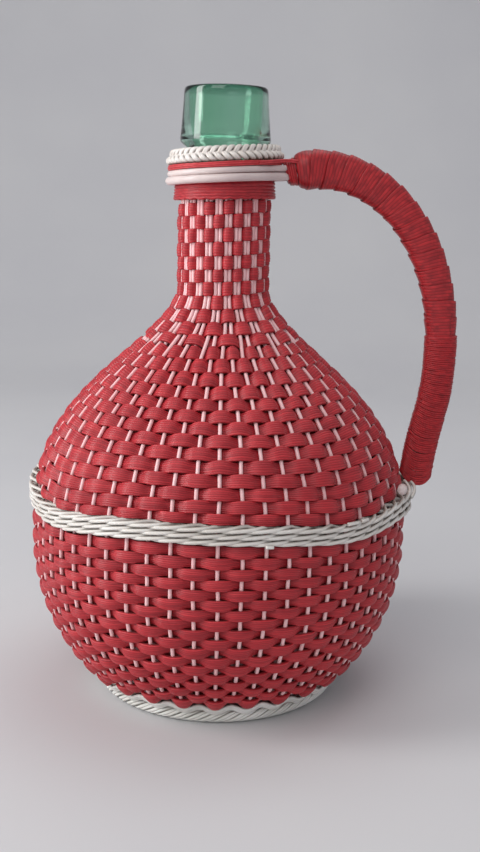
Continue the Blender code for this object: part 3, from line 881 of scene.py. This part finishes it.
def make_wrap_strand(split, rest):
    """The single strand, wound close from the end of the band to the foot.

    Its first turn is level. Near the foot its loops hang lower on the handle's two flat sides, so
    that the winding ends in a round.
    """
    loops = int(rest / fine_pitch)
    turn = np.linspace(0, TURN * loops, loops * 36 + 1)
    rounds = turn / TURN
    share = np.clip(rounds - 1, 0, None) / (loops - 1)
    hang = fine_hang + fine_side_hang * np.abs(np.sin(turn)) ** 2.5
    stray = wobble(rounds, 0.12, 0.31, 93) * np.clip(8 * share, 0, 1)
    middle = split + 0.15 + rest * share + hang * share ** 2 + stray
    sink = fine_sink + wobble(rounds, 0.12, 0.6, 94).clip(-0.15, 0.25)
    along = np.append(turn, turn[-1])[None] * wrap_texture
    wires("handle_wrap_strand", wrap_point(middle, turn, sink), wrap_outward(middle, turn),
          fine_strand_radius, 6, False, handle_strand, ["handle_wrap_lower"],
          across=(0.4, 0.6), along=along)


def new_material(name):
    """A material, a function that adds a node to it, and one that sets its shader's inputs."""
    material = bpy.data.materials.new(name)
    material.use_nodes = True
    tree = material.node_tree

    def plug(node, inputs):
        for key, value in inputs.items():
            if isinstance(value, bpy.types.NodeSocket):
                tree.links.new(value, node.inputs[key])
            else:
                node.inputs[key].default_value = value
        return node

    def add(kind, inputs=None, **settings):
        node = tree.nodes.new(kind)
        for key, value in settings.items():
            setattr(node, key, value)
        return plug(node, inputs or {})

    def surface(inputs):
        plug(tree.nodes["Principled BSDF"], inputs)

    return material, add, surface


def maths(add, operation, a, b=0.0):
    """A Math node's output."""
    return add("ShaderNodeMath", {0: a, 1: b}, operation=operation).outputs[0]


def mapped(add, value, low, high, to_low=0.0, to_high=1.0):
    """A value mapped from one range to another and held at its ends."""
    ends = {"Value": value, "From Min": low, "From Max": high, "To Min": to_low, "To Max": to_high}
    return add("ShaderNodeMapRange", ends).outputs["Result"]


def mixed(add, share, a, b, blend="MIX"):
    """Colour a blended with colour b by a share."""
    mix = add("ShaderNodeMix", {0: share, 6: a, 7: b}, data_type="RGBA", blend_type=blend)
    return mix.outputs[2]


def ramp(add, value, low, high, dark, light):
    """Value from low to high, mapped to a colour from dark to light."""
    return mixed(add, mapped(add, value, low, high), (*dark, 1), (*light, 1))


def noise(add, vector, scale, detail):
    """A noise texture's value."""
    cloud = add("ShaderNodeTexNoise", {"Vector": vector, "Scale": scale, "Detail": detail})
    return cloud.outputs[0]


def bumped(add, height, strength, distance):
    """A normal that is bent by a height."""
    bump = add("ShaderNodeBump", {"Height": height, "Strength": strength, "Distance": distance})
    return bump.outputs[0]


def object_place(add):
    """Object coordinates."""
    return add("ShaderNodeTexCoord").outputs["Object"]


def texture_axes(add):
    """The two texture coordinates: along a strand or wire, and across or round it."""
    uv = add("ShaderNodeSeparateXYZ", {0: add("ShaderNodeUVMap", uv_map="UVMap").outputs[0]})
    return uv.outputs[0], uv.outputs[1]


def strand_material(name, dark, light, under, line):
    """Red plastic strands: each strand has its own tone, fine lines along it and painted shade in
    the grooves.

    A band is darkened with the colour under where it goes below its neighbours: painted shade in
    the recesses of the weave.
    """
    material, add, surface = new_material(name)
    plain = (1.0, 1.0, 1.0)
    along, across = texture_axes(add)
    number = maths(add, "FLOOR", across)
    part = maths(add, "SUBTRACT", across, number)
    edge = maths(add, "ABSOLUTE", maths(add, "SUBTRACT", part, 0.5))
    streak_at = add("ShaderNodeCombineXYZ", {0: maths(add, "MULTIPLY", along, 0.22),
                                             1: maths(add, "MULTIPLY", number, 3.7)}).outputs[0]
    colour = ramp(add, noise(add, streak_at, 1.0, 2.0), 0.34, 0.66, dark, light)
    veil = ramp(add, noise(add, object_place(add), 9.0, 3.0), 0.35, 0.7, (0.90, 0.82, 0.88), plain)
    # Painted shade: the grooves between strands are darkened.
    groove = ramp(add, edge, 0.30, 0.5, plain, line)
    # Painted shade: the parts of a band that go under its neighbours are darkened.
    rise = add("ShaderNodeAttribute", attribute_name="rise").outputs["Fac"]
    shade = ramp(add, rise, 0.05, 0.75, under, plain)
    for tint in (veil, groove, shade):
        colour = mixed(add, 1.0, colour, tint, "MULTIPLY")
    fine_at = add("ShaderNodeCombineXYZ", {0: maths(add, "MULTIPLY", along, 0.6),
                                           1: maths(add, "MULTIPLY", across, 9.0)}).outputs[0]
    fine = noise(add, fine_at, 1.0, 3.0)
    surface({"Base Color": colour, "Roughness": mapped(add, fine, 0.0, 1.0, 0.36, 0.54),
             "Normal": bumped(add, fine, 0.25, 0.0002), "Specular IOR Level": 0.5,
             "Sheen Weight": 0.05})
    return material


def wire_material(name, dark, light, roughness, inward_shade=(1.0, 1.0, 1.0)):
    """Pale plastic with a soft change of tone along it, and painted shade on the side turned
    inwards.
    """
    material, add, surface = new_material(name)
    place = object_place(add)
    colour = ramp(add, noise(add, place, 26.0, 4.0), 0.36, 0.62, dark, light)
    side = texture_axes(add)[1]
    inward = maths(add, "ABSOLUTE", maths(add, "SUBTRACT", side, 0.5))
    # Painted shade: each wire is darker on its side turned in towards the jug.
    inward_shade_tint = ramp(add, inward, 0.20, 0.42, inward_shade, (1.0, 1.0, 1.0))
    grain = noise(add, place, 700.0, 2.0)
    surface({"Base Color": mixed(add, 1.0, colour, inward_shade_tint, "MULTIPLY"),
             "Roughness": mapped(add, grain, 0.0, 1.0, roughness - 0.06, roughness + 0.10),
             "Normal": bumped(add, grain, 0.12, 0.0001), "Subsurface Weight": 0.15,
             "Subsurface Radius": (0.0015, 0.0012, 0.001)})
    return material


def glass_material():
    """Blue-green bottle glass with slow ripples and a dark rim.

    Behind the cover it is opaque and painted dull red: painted shade and painted red light from the
    strands, as only the gaps of the weave show it there.
    """
    material, add, surface = new_material("green_bottle_glass")
    place = object_place(add)
    drawn = add("ShaderNodeMapping", {"Vector": place, "Scale": (60.0, 60.0, 6.0)}).outputs[0]
    cloud = noise(add, drawn, 1.0, 2.0)
    colour = ramp(add, cloud, 0.35, 0.65, (0.46, 0.76, 0.60), (0.56, 0.82, 0.69))
    level = add("ShaderNodeSeparateXYZ", {0: place}).outputs[2]
    bare = mapped(add, level, 0.296, 0.306)
    rim = mapped(add, level, 0.3395, 0.343)
    # Painted shade and painted red light: the glass behind the cover is dull red and opaque.
    colour = mixed(add, bare, (0.34, 0.055, 0.055, 1), colour)
    colour = mixed(add, rim, colour, (0.12, 0.34, 0.25, 1))
    surface({"Base Color": colour, "Transmission Weight": bare, "Roughness": 0.04, "IOR": 1.5,
             "Normal": bumped(add, cloud, 0.35, 0.0008)})
    return material


def floor_material():
    """Pale matt paper with a faint mottle."""
    material, add, surface = new_material("pale_floor")
    cloud = noise(add, object_place(add), 3.0, 3.0)
    surface({"Base Color": ramp(add, cloud, 0.3, 0.7, (0.60, 0.60, 0.62), (0.64, 0.64, 0.65)),
             "Roughness": 0.8})
    return material


def make_floor():
    """A pale sheet that curves up behind; its sizes are in metres."""
    bend = 1.0
    back = 1.1
    turn = np.linspace(0, math.pi / 2, 25)
    curve = np.stack([back + bend * np.sin(turn), bend * (1 - np.cos(turn))], -1)
    line = np.concatenate([[(-4.0, 0.0)], curve, [(back + bend, 6.0)]])
    sheet = np.array([[(side, y, z) for y, z in line] for side in (-6.0, 6.0)])
    count = len(line)
    mesh = bpy.data.meshes.new("floor")
    mesh.from_pydata(sheet.reshape(-1, 3).tolist(), [],
                     [(k, k + count, k + count + 1, k + 1) for k in range(count - 1)])
    mesh.shade_smooth()
    floor = bpy.data.objects.new("floor", mesh)
    bpy.context.scene.collection.objects.link(floor)
    mesh.materials.append(floor_material())


def make_lamps():
    """Three soft lamps and a pale room.

    Each lamp has its place, width and height in metres, its power in watts and its tint.
    """
    lamps = (("window_lamp", (-1.38, -0.30, 0.62), 0.45, 1.5, 17.0, (1.0, 0.99, 0.98)),
             ("front_lamp", (-0.7, -1.5, 1.45), 1.2, 1.2, 11.5, (1.0, 0.985, 0.97)),
             ("top_lamp", (0.3, 0.5, 1.9), 1.4, 1.4, 8.0, (1.0, 1.0, 1.0)))
    for name, place, wide, tall, power, tint in lamps:
        lamp = bpy.data.lights.new(name, "AREA")
        lamp.shape = "RECTANGLE"
        lamp.size = wide
        lamp.size_y = tall
        lamp.energy = power
        lamp.color = tint
        holder = bpy.data.objects.new(name, lamp)
        bpy.context.scene.collection.objects.link(holder)
        holder.location = place
        aim = Vector((0, 0, 0.15)) - Vector(place)
        holder.rotation_euler = aim.to_track_quat("-Z", "Y").to_euler()
    world = bpy.data.worlds.new("pale_room")
    bpy.context.scene.world = world
    world.use_nodes = True
    background = world.node_tree.nodes["Background"]
    background.inputs["Color"].default_value = (0.80, 0.80, 0.84, 1)
    background.inputs["Strength"].default_value = 0.52


def make_camera():
    """The photograph's camera: below the collar, looking down, turned and rolled a touch."""
    picture_height = 852
    focal_pixels = 1100
    yaw, pitch, roll = -1.04, 90 - 11.27, 1.24
    place = (axis_x * METRE, -0.63258, 0.28029)
    camera = bpy.data.cameras.new("camera")
    camera.sensor_width = 36
    camera.lens = focal_pixels / picture_height * camera.sensor_width
    holder = bpy.data.objects.new("camera", camera)
    bpy.context.scene.collection.objects.link(holder)
    turn = Matrix.Rotation(math.radians(yaw), 4, "Z") @ Matrix.Rotation(math.radians(pitch), 4, "X")
    turn = turn @ Matrix.Rotation(math.radians(roll), 4, "Z")
    holder.matrix_world = Matrix.Translation(place) @ turn
    bpy.context.scene.camera = holder
    bpy.context.scene.view_settings.view_transform = "Standard"


# The third colour is the painted shade where a band goes under its neighbours, the fourth the
# painted shade in the grooves between strands.
red_strand = strand_material("red_plastic_strand", (0.40, 0.012, 0.022), (0.60, 0.028, 0.038),
                             (0.86, 0.74, 0.82), (0.70, 0.60, 0.62))
# A darker copy of the red strands: painted shade, as the handle stands on the side away from the
# window lamp.
handle_strand = strand_material("handle_strand_painted_shade", (0.31, 0.009, 0.015), (0.56, 0.022, 0.028),
                                (1.0, 1.0, 1.0), (0.55, 0.46, 0.50))
# A lighter copy of the red strands: painted light, for the ring that lies open to the light from
# above.
ring_strand = strand_material("ring_strand_painted_light", (0.56, 0.035, 0.045), (0.74, 0.075, 0.085),
                              (1.0, 1.0, 1.0), (0.85, 0.80, 0.80))
# Colour of the painted shade on the inward side of the pale wires.
shade_brown = (0.34, 0.31, 0.28)
white_wire = wire_material("white_plastic_wire", (0.70, 0.66, 0.61), (0.84, 0.81, 0.77), 0.36,
                           shade_brown)
# The stakes are painted pink and bright: painted red light thrown on them by the strands, making up
# for the shade of the recesses that they stand in.
stake_pink_painted_light = wire_material("pink_lit_wire", (0.92, 0.53, 0.54), (0.97, 0.62, 0.63), 0.36)
plait_white = wire_material("plait_wire", (0.72, 0.66, 0.61), (0.86, 0.81, 0.77), 0.4, shade_brown)
tube_white = wire_material("collar_tube_plastic", (0.62, 0.50, 0.49), (0.78, 0.67, 0.65), 0.32)
foot_white = wire_material("foot_wire", (0.74, 0.74, 0.69), (0.94, 0.94, 0.90), 0.4, shade_brown)
core_white = wire_material("white_tube", (0.62, 0.55, 0.46), (0.76, 0.70, 0.61), 0.45)
green_glass = glass_material()

make_glass()
make_stakes()
make_bottom_weave()
make_foot_ring()
make_waist()
for first in (0, 6, 12):
    weave(f"lower_weave_{first + 1}", ["lower_weave"], lower_rows, lower_limits, first, first + 6,
          stake_count, per_column=8, strands=6, square=0.95, phase=0, seed=100, bias=0.32, hang=2.2)
for first in (0, 7):
    weave(f"shoulder_weave_{first + 1}", ["shoulder_weave"], shoulder_rows, shoulder_limits,
          first, first + 7, stake_count, per_column=8, strands=6, square=0.85, phase=0, seed=200,
          bias=0.25)
weave("neck_weave_1", ["neck_weave"], neck_rows, neck_limits, 0, 11, neck_columns, per_column=14,
      strands=5, square=0.6, phase=1, seed=300, bias=0.1, proud=0.4)
make_collar()
make_handle()
make_floor()
make_lamps()
make_camera()
